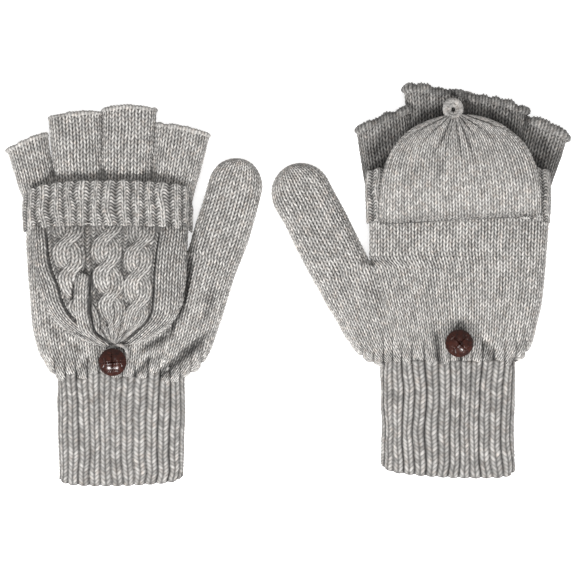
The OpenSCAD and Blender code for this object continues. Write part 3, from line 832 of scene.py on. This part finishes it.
def cable_relief(t, c_mm, seed):
    """Height in millimetres, stitch height and tone of three two-strand cables with purl gutters between."""
    outside = (t < GUTTERS[0]) | (t > GUTTERS[1])
    stitch, tone = plain(t * HOOD_HALF / HOOD_WALE, c_mm / COURSE, seed)
    p_height, p_tone = purl(t * HOOD_HALF / HOOD_WALE * 0.9, c_mm / 2.1, seed + 3)
    high = np.where(outside, 0.5, -0.7 - 0.3 * smooth(c_mm / 25))
    stitch = np.where(outside, 0.9 * stitch, 0.2 + 0.72 * p_height)
    tone = np.where(outside, tone, p_tone)
    for g in GUTTERS:
        groove = bell(t - g, 0.026) * outside
        puff = bell(t - g - math.copysign(0.12, g), 0.08) * outside
        high = high + 0.8 * puff - 2.4 * groove * (1 - 0.7 * smooth((c_mm - 42) / 8))
        # In the gutters the lower stitch height sinks the stitches and darkens their colour: partly real
        # relief, partly painted shade.
        stitch = stitch * (1 - 0.6 * groove)
    fabric = (high, stitch, tone)
    for (middle, half), phase in zip(CABLES, CABLE_PHASE):
        half = half * (1 + 0.15 * smooth(c_mm / 30))
        x = (t - middle) / half
        turn = math.pi * (c_mm / CABLE_STEP + phase)
        for strand in (0, 1):
            swing = np.tanh(STEEP * np.cos(turn + strand * math.pi))
            over = np.sin(turn + strand * math.pi)
            d = (x - LANE * swing / math.tanh(STEEP)) / STRAND_HALF
            lean = -LANE * math.pi * STEEP * over * (1 - swing ** 2) * half * HOOD_HALF / CABLE_STEP
            body = np.sqrt(np.clip(1 - np.abs(d) ** 2.4, 0, 1))
            level = np.where(np.abs(d) < 1, 0.9 * over + 1.9 * body - 1.2, NOWHERE)
            c = c_mm / COURSE + 0.5 * lean * d
            s_height, s_tone = plain(1.3 * (d + 1) + 40 * strand, c, seed + 5 + strand)
            # The strands' stitches sink and darken towards their edges and where they pass under: partly real
            # relief, partly painted shade.
            s_height = (0.12 + 0.8 * s_height) * smooth(0.4 + 0.8 * body + 0.1 * over)
            fabric = lay_over(fabric, level, s_height, s_tone)
    return fabric


def rolled_fold(u, r, fabric, seed):
    """Adds the soft fold that rolls over the first cable, and the creases beside it."""
    d = (u - curve(r, ROLL_PATH, 1)) / ROLL_HALF
    rounded_end = arch((r - ROLL_PATH[0][0]) / 5)
    body = np.sqrt(np.clip(1 - np.abs(d / np.maximum(rounded_end, 0.05)) ** 2.4, 0, 1))
    level = np.where(body > 0, 3.4 * body - 0.8, NOWHERE)
    own_stitch, own_tone = plain(1.36 * (d + 1), r / COURSE, seed)
    # The fold's stitches sink and darken towards its edges and in the crease on the thumb side: partly real
    # relief, partly painted shade.
    own_stitch = (0.1 + 0.8 * own_stitch) * smooth(0.3 + body)
    high, stitch, tone = lay_over(fabric, level, own_stitch, own_tone)
    thumb_crease = bell(d - 1.13, 0.19) * smooth((r - 19) / 8)
    little_crease = bell(d + 1.1, 0.2) * smooth((r - 24) / 4) * (1 - smooth((r - 38) / 7))
    return high - 3.2 * thumb_crease - 2.2 * little_crease, stitch * (1 - 0.6 * thumb_crease), tone


def hood_heights(m):
    """(r, z) of the pouch's underside, its middle and its top, over the back of the hand."""
    if m.left:
        under = [[-5, 0.8], [60.5, 0.8]]
        middle = [[-5, 1.2], [0, 2.2], [5, 2.9], [50, 2.9], [60.5, 1.9]]
        top = [[-5, 2.4], [-2, 3.4], [2, 4.8], [7, 6.2], [14, 7.2], [30, 7.6], [46, 6.6], [55, 4.8],
               [60.5, 3.3]]
    else:
        under = [[0, 3.2], [26, 3.2], [33, 1.4], [56, 1.4]]
        middle = [[0, 1.6], [3, 3.6], [8, 4.8], [26, 5.0], [34, 3.4], [56, 3.4]]
        top = [[0, 4.6], [3, 6.0], [8, 7.2], [20, 8.1], [34, 7.9], [46, 6.7], [56, 5.0]]
    return under, middle, top


def hood_rows(hood, start):
    """Each row's distance from the seam, evenly spaced up to the tip and then evenly round its curve."""
    length, p = hood["length"], 4 / sum(hood["powers"])
    turn = math.asin(0.85 ** (1 / p))
    tip = length * np.sin(np.arange(turn, math.pi / 2 - 0.035, ROW / (hood["half"] * 0.86))) ** p
    neck = np.arange(start, 0.7, ROW if start < 0 else 0.13)
    return join(neck, np.arange(0.7, 0.85 * length - 0.2, ROW), tip)


def tip_pleats(u, from_tip, seed):
    """The pleats in which the fabric is gathered at the tip, fading out towards the seam."""
    to_tip = np.hypot(u, from_tip)
    angle = np.arctan2(u, from_tip + 2)
    ray = np.sin(11 * angle + 0.9 * cloud(4 * angle, to_tip / 16, seed)) / 0.4
    reach_out = 19 + 8 * cloud(5 * angle, 0 * angle, seed + 4)
    return bell(ray, 1) * bell(to_tip, reach_out) * smooth(to_tip / 4)


class HoodPanel:
    """The smooth shape of one side of the hood. Its rings cross the outer face and come back on the inner.

    r is each row's distance from the seam. u and t say where each column of the outer face lies: u is its
    distance from the row's middle, and t goes from -1 to 1 across the fabric.
    """

    def __init__(self, m, cabled):
        hood = m.shape["hood"]
        length, half = hood["length"], hood["half"]
        under, middle, top = hood_heights(m)
        self.faces_up = cabled == m.left
        self.start = -4.4 if m.left and cabled else 0.0
        self.direction = -1 if m.left else 1
        self.r = r = hood_rows(hood, self.start)
        little_side, thumb_side = (half * np.sqrt(1 - (np.maximum(r, 0) / length) ** power)
                                   for power in hood["powers"])
        self.reach = reach = (little_side + thumb_side) / 2
        self.fold = fold = np.minimum(4.6 if self.faces_up else 1.6, reach * 0.9)
        self.wales = round(2 * half / HOOD_WALE)
        self.cols = cols = self.wales * (PER_WALE + (2 if cabled else 0))
        share = (np.arange(cols) + 0.5) / cols
        e = -FOLD * fold[:, None] + (2 * reach + 2 * FOLD * fold)[:, None] * share
        offset, rise = section(e, 2 * reach[:, None], fold[:, None], fold[:, None])
        self.u = offset - reach[:, None]
        self.t = 2 * share - 1
        z_mid = (m.height + curve(r, middle, 1))[:, None]
        z_out = (m.height + curve(r, top if self.faces_up else under, 1))[:, None]
        closing = arch((length - r) / 6 + 0.02)
        if not (m.left and cabled):
            closing = closing * arch((r - self.start + 0.2) / 1.8)
        swell = (z_out - z_mid) * rise * closing[:, None]
        if self.faces_up:
            swell = swell * (1 - 0.10 * np.abs(self.t[None, :]) ** 2)
        back = 1 - 2 * (np.arange(HOOD_BACK_COLS) + 0.5) / HOOD_BACK_COLS
        centre = hood["u"] + hood["lean"] * np.clip(r[:, None] / length, 0, 1) ** 1.5
        self.centre = centre = centre + ((thumb_side - little_side) / 2)[:, None]
        self.rings = rings = np.empty((len(r), cols + HOOD_BACK_COLS, 3))
        rings[:, :cols, 0] = centre + self.u
        rings[:, :cols, 2] = z_mid + swell
        rings[:, cols:, 0] = centre + back * reach[:, None] * 0.985
        rings[:, cols:, 2] = z_mid
        rings[..., 1] = SEAM_V + self.direction * r[:, None] - hood["slant"] * (rings[..., 0] - centre)


def cabled_fabric(m, panel, c_mm, seed):
    """Height in millimetres, stitch height and tone of the hood's cabled side."""
    length = m.shape["hood"]["length"]
    across = np.broadcast_to(panel.t, c_mm.shape)
    if m.left:
        width = (panel.reach + FOLD * panel.fold)[:, None]
        little, thumb = ((curve(panel.r, path, 1)[:, None] - panel.centre) / width for path in GUTTER_PATHS)
        little, thumb = np.clip(little, -0.8, -0.2), np.clip(thumb, 0.2, 0.7)
        across = fabric_share(across, little, thumb, width / width[0])
    fabric = cable_relief(across, c_mm, seed)
    if m.left:
        fabric = rolled_fold(panel.centre + panel.u, panel.r[:, None], fabric, seed + 9)
    high, height, tone = fabric
    strength = lerp(1.0, 0.45, smooth((panel.r - 0.72 * length) / (0.28 * length)))[:, None]
    if not panel.faces_up:
        strength = strength * 0.3
    edge = smooth((1 - np.abs(panel.t)) / 0.03)[None, :]
    return (high * strength - 0.6) * edge, height, tone


def make_hood_panel(m, cabled, wool):
    """One side of the hood, cabled or plain."""
    hood = m.shape["hood"]
    panel = HoodPanel(m, cabled)
    r, rings, outer = panel.r[:, None], panel.rings, panel.rings[:, :panel.cols]
    step = np.linalg.norm(np.diff(outer, axis=0, prepend=outer[:1]), axis=2)
    c_mm = np.cumsum(step, axis=0) + panel.start
    s = np.broadcast_to((panel.t * panel.wales / 2 + panel.wales)[None, :], c_mm.shape)
    seed = m.seed + (61 if cabled else 71)
    gather = tip_pleats(panel.u, hood["length"] - r, seed) * (0.5 if cabled else 0.8)
    macro = 0.3 * undulation(outer, seed, 11.0) - 1.7 * gather
    if cabled:
        high, height, tone = cabled_fabric(m, panel, c_mm, seed)
        macro = macro + high
    else:
        height, tone = plain(s, c_mm / COURSE, seed)
    size = np.clip(panel.reach[:, None] / hood["half"] * 1.15, 0.12, 1)
    lift = macro + STITCH_RELIEF * size * (height - FLUSH)
    if not panel.faces_up:
        lift = lift * 0.6
    n = normals_of(rings)[:, :panel.cols]
    n = n * np.sign((n[..., 2] * (1 if panel.faces_up else -1)).sum())
    rings[:, :panel.cols] += n * lift[..., None]
    pad = np.full((len(r), HOOD_BACK_COLS), 0.4)
    stitch = (join(s, pad * 0, axis=1), join(c_mm / COURSE, pad * 0, axis=1))
    # Painted shade: the colour darkens in the creases and in the tip's pleats.
    shade = np.clip(height * crease_shade(1.3 * macro + 0.8) - 0.6 * gather, 0, 1)
    # Painted shade: each panel darkens towards its seam end, where it runs under the band or folds at the
    # hinge.
    hinge = lerp(0.6, 1, smooth((r - panel.start + 0.2) / 6))
    look = (join(tone, pad, axis=1), join(shade, pad, axis=1), hinge)
    name = "hood_cable" if cabled else "hood_back"
    piece = loft(f"{m.side}_{name}_knit", m, rings, stitch, look, wool)
    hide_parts(f"{m.side}_{name}")
    if cabled != m.left and cabled:
        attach(piece, m.hood_body)
    else:
        near = m.place(hood["u"], SEAM_V - panel.direction * 0.8, m.height)
        far = m.place(hood["u"], SEAM_V + panel.direction * 4.5, m.height)
        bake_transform(piece)


# ---- yarn pieces ----

def yarn_rings(path, radius, sides, closed, ply, seed=0):
    """A plied yarn along a path of points: rings with two twisted strands."""
    twist_pitch = 3.0
    path = np.array(path, float)
    if closed:
        tangent = np.roll(path, -1, axis=0) - np.roll(path, 1, axis=0)
    else:
        tangent = np.gradient(path, axis=0)
    tangent = unit(tangent)
    side = np.cross(tangent, [0.0, 0.0, 1.0])
    upright = np.linalg.norm(side, axis=1) < 0.2
    side[upright] = np.cross(tangent[upright], [0.0, 1.0, 0.0])
    side = unit(side)
    rise = np.cross(side, tangent)
    step = np.linalg.norm(np.diff(path, axis=0, prepend=path[:1]), axis=1)
    along = np.cumsum(step)
    turns = max(1, round(along[-1] / twist_pitch)) if closed else along[-1] / twist_pitch
    phase = 2 * math.pi * along / along[-1] * turns
    a = np.arange(sides) / sides * 2 * math.pi
    groove = np.abs(np.cos(a[None, :] - phase[:, None]))
    wobble = 1 + 0.06 * cloud(along[:, None] / 1.3, a[None, :] * 1.2, seed)
    r = radius * (1 - ply + ply * groove ** 0.6) * wobble
    rings = path[:, None, :] + r[..., None] * (side[:, None, :] * np.cos(a)[None, :, None]
                                               + rise[:, None, :] * np.sin(a)[None, :, None])
    return rings, along, groove


def yarn_piece(name, m, path, radius, material, closed=False, sides=14, seed=0, ply=0.24, light=1.0):
    """A piece made of one yarn. A closed path joins its last ring to its first."""
    rings, along, groove = yarn_rings(path, radius, sides, closed, ply, seed)
    if closed:
        rings, groove = join(rings, rings[:1]), join(groove, groove[:1])
        along = np.append(along, along[-1] + 0.1)
    tone = scatter(np.floor(along / 1.4)[:, None], np.zeros((1, sides)), seed) + 0 * groove
    fluff = cloud(along[:, None] / 0.7, np.arange(sides)[None, :] / 2, seed + 5)
    # The stitch height follows the ply, so the colour darkens in its grooves as painted shade.
    look = (tone, 0.6 + 0.14 * groove + 0.16 * fluff, light)
    stitch = (np.arange(sides) / sides, along[:, None])
    return loft(name, m, rings, stitch, look, material)


def circle_path(centre, rx, ry, wave):
    """A closed oval path that rises and falls twice on its way round."""
    count = 72
    a = np.arange(count) / count * 2 * math.pi
    return stack(centre[0] + rx * np.cos(a), centre[1] + ry * np.sin(a), centre[2] + wave * np.sin(2 * a))


def make_loop(m, wool):
    """The yarn loop: round the button's shank and up beside its rim on the left, and free on the right."""
    if m.left:
        a = np.arange(96) / 96 * 2 * math.pi
        beside = bell(np.mod(a - math.radians(48) + math.pi, 2 * math.pi) - math.pi, 0.75)
        reach = 5.6 + 3.1 * beside
        path = stack(m.button[0] + 0.5 + reach * np.cos(a), m.button[1] + 1.6 + reach * np.sin(a),
                     m.height + 1.5 + 3.2 * beside ** 3)
        turns = [("loop_yarn", path, 1.0, 0.24, 0.75, [f"{m.side}_loop"])]
    else:
        # The loop's yarn is doubled: its second turn lies inside the first.
        outer = circle_path((-2.2, 195.4, m.height + 3.0), 4.2, 4.4, wave=0.3)
        inner = circle_path((-2.4, 195.0, m.height + 2.4), 2.3, 2.5, wave=0.4)
        turns = [("loop_yarn", outer, 1.5, 0.22, 0.8, [f"{m.side}_loop"]),
                 ("loop_inner_turn", inner, 1.35, 0.22, 0.72, [])]
    for k, (name, path, radius, ply, light, nodes) in enumerate(turns):
        piece = yarn_piece(f"{m.side}_{name}", m, path, radius, wool, closed=True, sides=20,
                           seed=m.seed + 2 * k, ply=ply, light=light)
        fit_out(piece, m.hood_body, "loop_yarn", *nodes)


def make_seam(m, wool):
    """The chain of picked-up stitches along the hood's hinge."""
    hood = m.shape["hood"]
    reach = hood["half"] - 3
    u = np.arange(-reach, reach, 0.4)
    chain = np.abs(np.sin(math.pi * u / WALE))
    low, under = (0.0, 0.7) if m.left else (1.6, 0.3)
    v = SEAM_V + low + 0.3 * np.sin(2 * math.pi * u / WALE) - hood["slant"] * u
    path = stack(hood["u"] + u, v, m.height + under + 0.3 * chain)
    piece = yarn_piece(f"{m.side}_seam_yarn", m, path, 0.9, wool, sides=12, seed=m.seed + 1)
    fit_out(piece, m.body, "seam_yarn", f"{m.side}_hood_seam")


def make_thread(m, thread):
    """Two turns of sewing yarn through the button's eye, down into the knit on each side."""
    leg, top = 2.3, m.height + 2.5
    a = np.radians(np.linspace(180, 0, 15))
    arc = stack(leg * np.cos(a), 0 * a, (top - m.height - 0.4) * np.sin(a) ** 0.7)
    path = arc + [*m.button, m.height + 0.45]
    for k, shift in enumerate((-0.25, 0.25)):
        name = f"{m.side}_button_yarn_{k + 1}"
        piece = yarn_piece(name, m, path + [0, shift, 0], 0.34, thread, sides=10, seed=k)
        fit_out(piece, m.body, "thread", f"{m.side}_button_thread")


def make_button(m, gloss):
    """A dome moulded like plaited leather, with a ring-shaped shank under it."""
    r, dome, rim, under = 7.2, 4.3, 1.3, m.height + 4.3
    rows, cols = 60, 120
    f = np.linspace(0.004, 1, rows)[:, None]
    turned = math.radians(4 if m.left else 45)
    a = np.arange(cols) / cols * 2 * math.pi + turned
    x, y = r * f * np.cos(a), r * f * np.sin(a)
    z = rim + (dome - rim) * (1 - f ** 2.2) + 0 * x
    p, q = x * math.cos(turned) + y * math.sin(turned), -x * math.sin(turned) + y * math.cos(turned)
    reach = smooth((6.6 - np.hypot(x, y)) / 1.5)
    # Two grooves with raised sides cross at the middle, and a fainter bow crosses each arm.
    for d in (p, q):
        z = z - 0.5 * bell(d, 0.22) * reach
        z = z + 0.26 * bell(np.abs(d) - 0.55, 0.32) * reach
    for d, other in ((p, q), (q, p)):
        bow = np.abs(d) - 4.3 - 0.09 * other ** 2
        z = z - 0.28 * bell(bow, 0.2) * smooth((3.4 - np.abs(other)) / 1.0)
    rings = list(stack(x, y, z))
    for b in np.radians(np.linspace(15, 165, 8)):
        grow = r - 0.1 + 0.35 * math.sin(b)
        lower = 0.65 + 0.65 * math.cos(b)
        rings.append(stack(grow * np.cos(a), grow * np.sin(a), np.full(cols, lower)))
    for share in (0.85, 0.5, 0.2, 0.02):
        rings.append(stack(r * share * np.cos(a), r * share * np.sin(a), np.zeros(cols)))
    rings = np.array(rings) + [*m.button, under]
    even_look = (0, 1, 0)
    piece = loft(f"{m.side}_button_dome", m, rings, (0, 0), even_look, gloss, smooth_caps=True)
    fit_out(piece, f"{m.side}_button", "button", f"{m.side}_button")
    b = np.arange(32) / 32 * 2 * math.pi
    ring_path = stack(0 * b, 1.25 * np.cos(b), 1.3 * np.sin(b)) + [*m.button, under - 1.15]
    shank_rings, _, _ = yarn_rings(ring_path, 0.5, 12, True, ply=0.0)
    shank_rings = join(shank_rings, shank_rings[:1])
    shank = loft(f"{m.side}_button_shank", m, shank_rings, (0, 0), even_look, gloss)
    fit_out(shank, f"{m.side}_button", "button")


# ---- materials ----

class Nodes:
    """A short way to write a material's nodes."""

    def __init__(self, name):
        self.material = bpy.data.materials.new(name)
        self.material.use_nodes = True
        self.tree = self.material.node_tree
        self.shader = self.tree.nodes["Principled BSDF"]

    def fill(self, node, inputs):
        """Sets a node's inputs, each to a value or to another node's output."""
        for key, value in inputs.items():
            if isinstance(value, bpy.types.NodeSocket):
                self.tree.links.new(value, node.inputs[key])
            else:
                node.inputs[key].default_value = value

    def add(self, kind, inputs, **settings):
        made = self.tree.nodes.new(kind)
        for key, value in settings.items():
            setattr(made, key, value)
        self.fill(made, inputs)
        return made

    def math(self, operation, a, b=0.0, c=0.0):
        return self.add("ShaderNodeMath", {0: a, 1: b, 2: c}, operation=operation).outputs[0]

    def noise(self, vector, scale, detail=2.0):
        inputs = {"Vector": vector, "Scale": scale, "Detail": detail}
        return self.add("ShaderNodeTexNoise", inputs).outputs["Fac"]

    def attribute(self, name, output):
        return self.add("ShaderNodeAttribute", {}, attribute_name=name).outputs[output]

    def ramp(self, factor, stops):
        made = self.add("ShaderNodeValToRGB", {"Fac": factor})
        points = made.color_ramp.elements
        while len(points) < len(stops):
            points.new(0.5)
        for point, (position, colour) in zip(points, stops):
            point.position = position
            point.color = (*colour, 1)
        return made.outputs["Color"]

    def multiply(self, a, b):
        inputs = {"Factor": 1.0, 6: a, 7: b}
        return self.add("ShaderNodeMix", inputs, data_type="RGBA", blend_type="MULTIPLY").outputs[2]

    def bump(self, height, strength, distance):
        inputs = {"Height": height, "Strength": strength, "Distance": distance}
        return self.add("ShaderNodeBump", inputs).outputs["Normal"]


def wool_material(name, brightness=1.0, bump=0.5, least=0.03):
    """Heather yarn: light, mid and dark fibres, warmer and cooler by patches, with painted shade between the
    strands and a faint painted highlight on the highest stitches, both from the stitch height, and painted
    light and shade from the light channel.
    least is the brightness that the painted shade leaves in the deepest gaps.
    """
    m = Nodes(name)
    parts = m.add("ShaderNodeSeparateColor", {"Color": m.attribute("yarn", "Color")})
    tone, height, light = parts.outputs[0], parts.outputs[1], parts.outputs[2]
    place = m.add("ShaderNodeTexCoord", {}).outputs["Object"]
    stitch = m.attribute("stitch", "Vector")
    along_rows = m.add("ShaderNodeMapping", {"Vector": stitch, "Scale": (0.16, 0.9, 1.0)}).outputs["Vector"]
    fibre = m.noise(place, 1900.0, 3.0)
    grain = m.noise(place, 620.0)
    value = m.math("MULTIPLY_ADD", tone, 0.38, m.math("MULTIPLY", fibre, 0.35))
    for part, weight in ((grain, 0.22), (m.noise(along_rows, 1.3), 0.3), (m.noise(place, 75.0), 0.12)):
        value = m.math("MULTIPLY_ADD", part, weight, value)
    value = m.math("SUBTRACT", value, 0.17)
    b = brightness
    greys = [(0.05, 0.20), (0.36, 0.335), (0.62, 0.45), (0.95, 0.64)]
    colour = m.ramp(value, [(at, (g * b, 0.957 * g * b, 0.91 * g * b)) for at, g in greys])
    tints = [(0.40, (0.985, 1.0, 1.01)), (0.56, (1.0, 1.0, 1.0)), (0.74, (1.05, 1.0, 0.965))]
    colour = m.multiply(colour, m.ramp(m.noise(place, 340.0), tints))
    # Painted shade and highlight: low stitch height darkens the colour between the strands, and the highest
    # stitches are brightened a little.
    gaps = [(0.0, 0.0), (0.25, 0.11), (0.5, 0.56), (0.75, 1.08), (1.0, 1.2)]
    gaps = [(at, least + g * (1 - least / 1.2)) for at, g in gaps]
    colour = m.multiply(colour, m.ramp(height, [(at, (g, g, g)) for at, g in gaps]))
    shadow = m.add("ShaderNodeCombineXYZ", {0: light, 1: light, 2: light}).outputs["Vector"]
    colour = m.multiply(colour, shadow)
    relief = m.math("MULTIPLY_ADD", grain, 0.5, fibre)
    m.fill(m.shader, {"Base Color": colour, "Normal": m.bump(relief, bump, 0.00025), "Roughness": 0.92,
                      "Sheen Weight": 0.18, "Sheen Roughness": 0.5, "Specular IOR Level": 0.2})
    return m.material


def button_material():
    """Dark brown moulded plastic with slightly redder high spots and fine wear."""
    m = Nodes("brown_button")
    place = m.add("ShaderNodeTexCoord", {}).outputs["Object"]
    browns = [(0.3, (0.014, 0.0035, 0.0022)), (0.7, (0.040, 0.0088, 0.0044))]
    wear = {"Value": m.noise(place, 900.0), "To Min": 0.17, "To Max": 0.3}
    m.fill(m.shader, {"Base Color": m.ramp(m.noise(place, 420.0, 3.0), browns),
                      "Roughness": m.add("ShaderNodeMapRange", wear).outputs["Result"],
                      "Normal": m.bump(m.noise(place, 1500.0), 0.12, 0.0002),
                      "Specular IOR Level": 0.3, "Coat Weight": 0.12, "Coat Roughness": 0.08})
    return m.material


def floor_material():
    m = Nodes("pale_floor")
    m.fill(m.shader, {"Base Color": (0.9, 0.9, 0.9, 1), "Emission Color": (1, 1, 1, 1),
                      "Emission Strength": 0.6, "Roughness": 0.9, "Specular IOR Level": 0.1})
    return m.material


# ---- stage ----

def make_camera():
    """Straight above the pair. frame_width is what the picture shows at the mittens' height."""
    data = bpy.data.cameras.new("camera")
    camera = link_object("camera", data)
    distance, mitten_height, frame_width = 1.7, 0.014, 0.3082
    data.sensor_width = 36
    data.lens = data.sensor_width * (distance - mitten_height) / frame_width
    camera.location = (-0.0002, -0.0001, distance)
    bpy.context.scene.camera = camera


def make_light(name, place, target, size, energy):
    """A round area light, which the camera doesn't see."""
    data = bpy.data.lights.new(name, "AREA")
    data.shape = "DISK"
    data.size = size
    data.energy = energy
    light = link_object(name, data)
    light.location = place
    aim = np.array(target) - np.array(place)
    light.rotation_mode = "QUATERNION"
    light.rotation_quaternion = Vector(aim).to_track_quat("-Z", "Y")
    light.visible_camera = False


def make_stage():
    """The pale floor, two low key lights, a wide overhead light and a white world."""
    size = 6.0
    mesh = bpy.data.meshes.new("floor")
    corners = [(-size, -size, 0), (size, -size, 0), (size, size, 0), (-size, size, 0)]
    mesh.from_pydata(corners, [], [(0, 1, 2, 3)])
    mesh.materials.append(floor_material())
    floor = link_object("floor", mesh)
    floor.location.z = -0.0002
    make_light("key_left", (-0.62, -0.85, 0.95), (0, 0, 0), 0.3, 19.5)
    make_light("key_right", (0.5, -0.9, 1.0), (0, 0, 0), 0.3, 15.0)
    make_light("overhead", (0.0, 0.2, 1.6), (0, 0, 0), 1.2, 6.0)
    world = bpy.data.worlds.new("world")
    world.use_nodes = True
    background = world.node_tree.nodes["Background"]
    background.inputs["Color"].default_value = (1, 1, 1, 1)
    background.inputs["Strength"].default_value = 0.45
    scene = bpy.context.scene
    scene.world = world
    scene.view_settings.view_transform = "Standard"
    scene.view_settings.look = "None"


def main():
    make_camera()
    make_stage()
    plain_wool = wool_material("plain_wool", 1.03)
    rib_wool = wool_material("rib_wool", 0.97)
    cuff_wool = wool_material("cuff_wool", 0.795)
    hood_wool = wool_material("hood_wool", least=0.14)
    cable_wool = wool_material("cable_wool", 0.98, least=0.05)
    loose_wool = wool_material("loose_wool", bump=0.8)
    thread = wool_material("sewing_yarn", 0.8)
    gloss = button_material()
    for side in ("left", "right"):
        m = Mitten(side)
        make_hand(m, plain_wool)
        make_thumb(m, plain_wool)
        make_cuff(m, cuff_wool)
        for i in range(4):
            make_stub(m, i, plain_wool)
        make_band(m, rib_wool)
        make_hood_panel(m, True, cable_wool)
        make_hood_panel(m, False, hood_wool)
        make_loop(m, loose_wool)
        make_seam(m, loose_wool)
        make_thread(m, thread)
        make_button(m, gloss)


main()
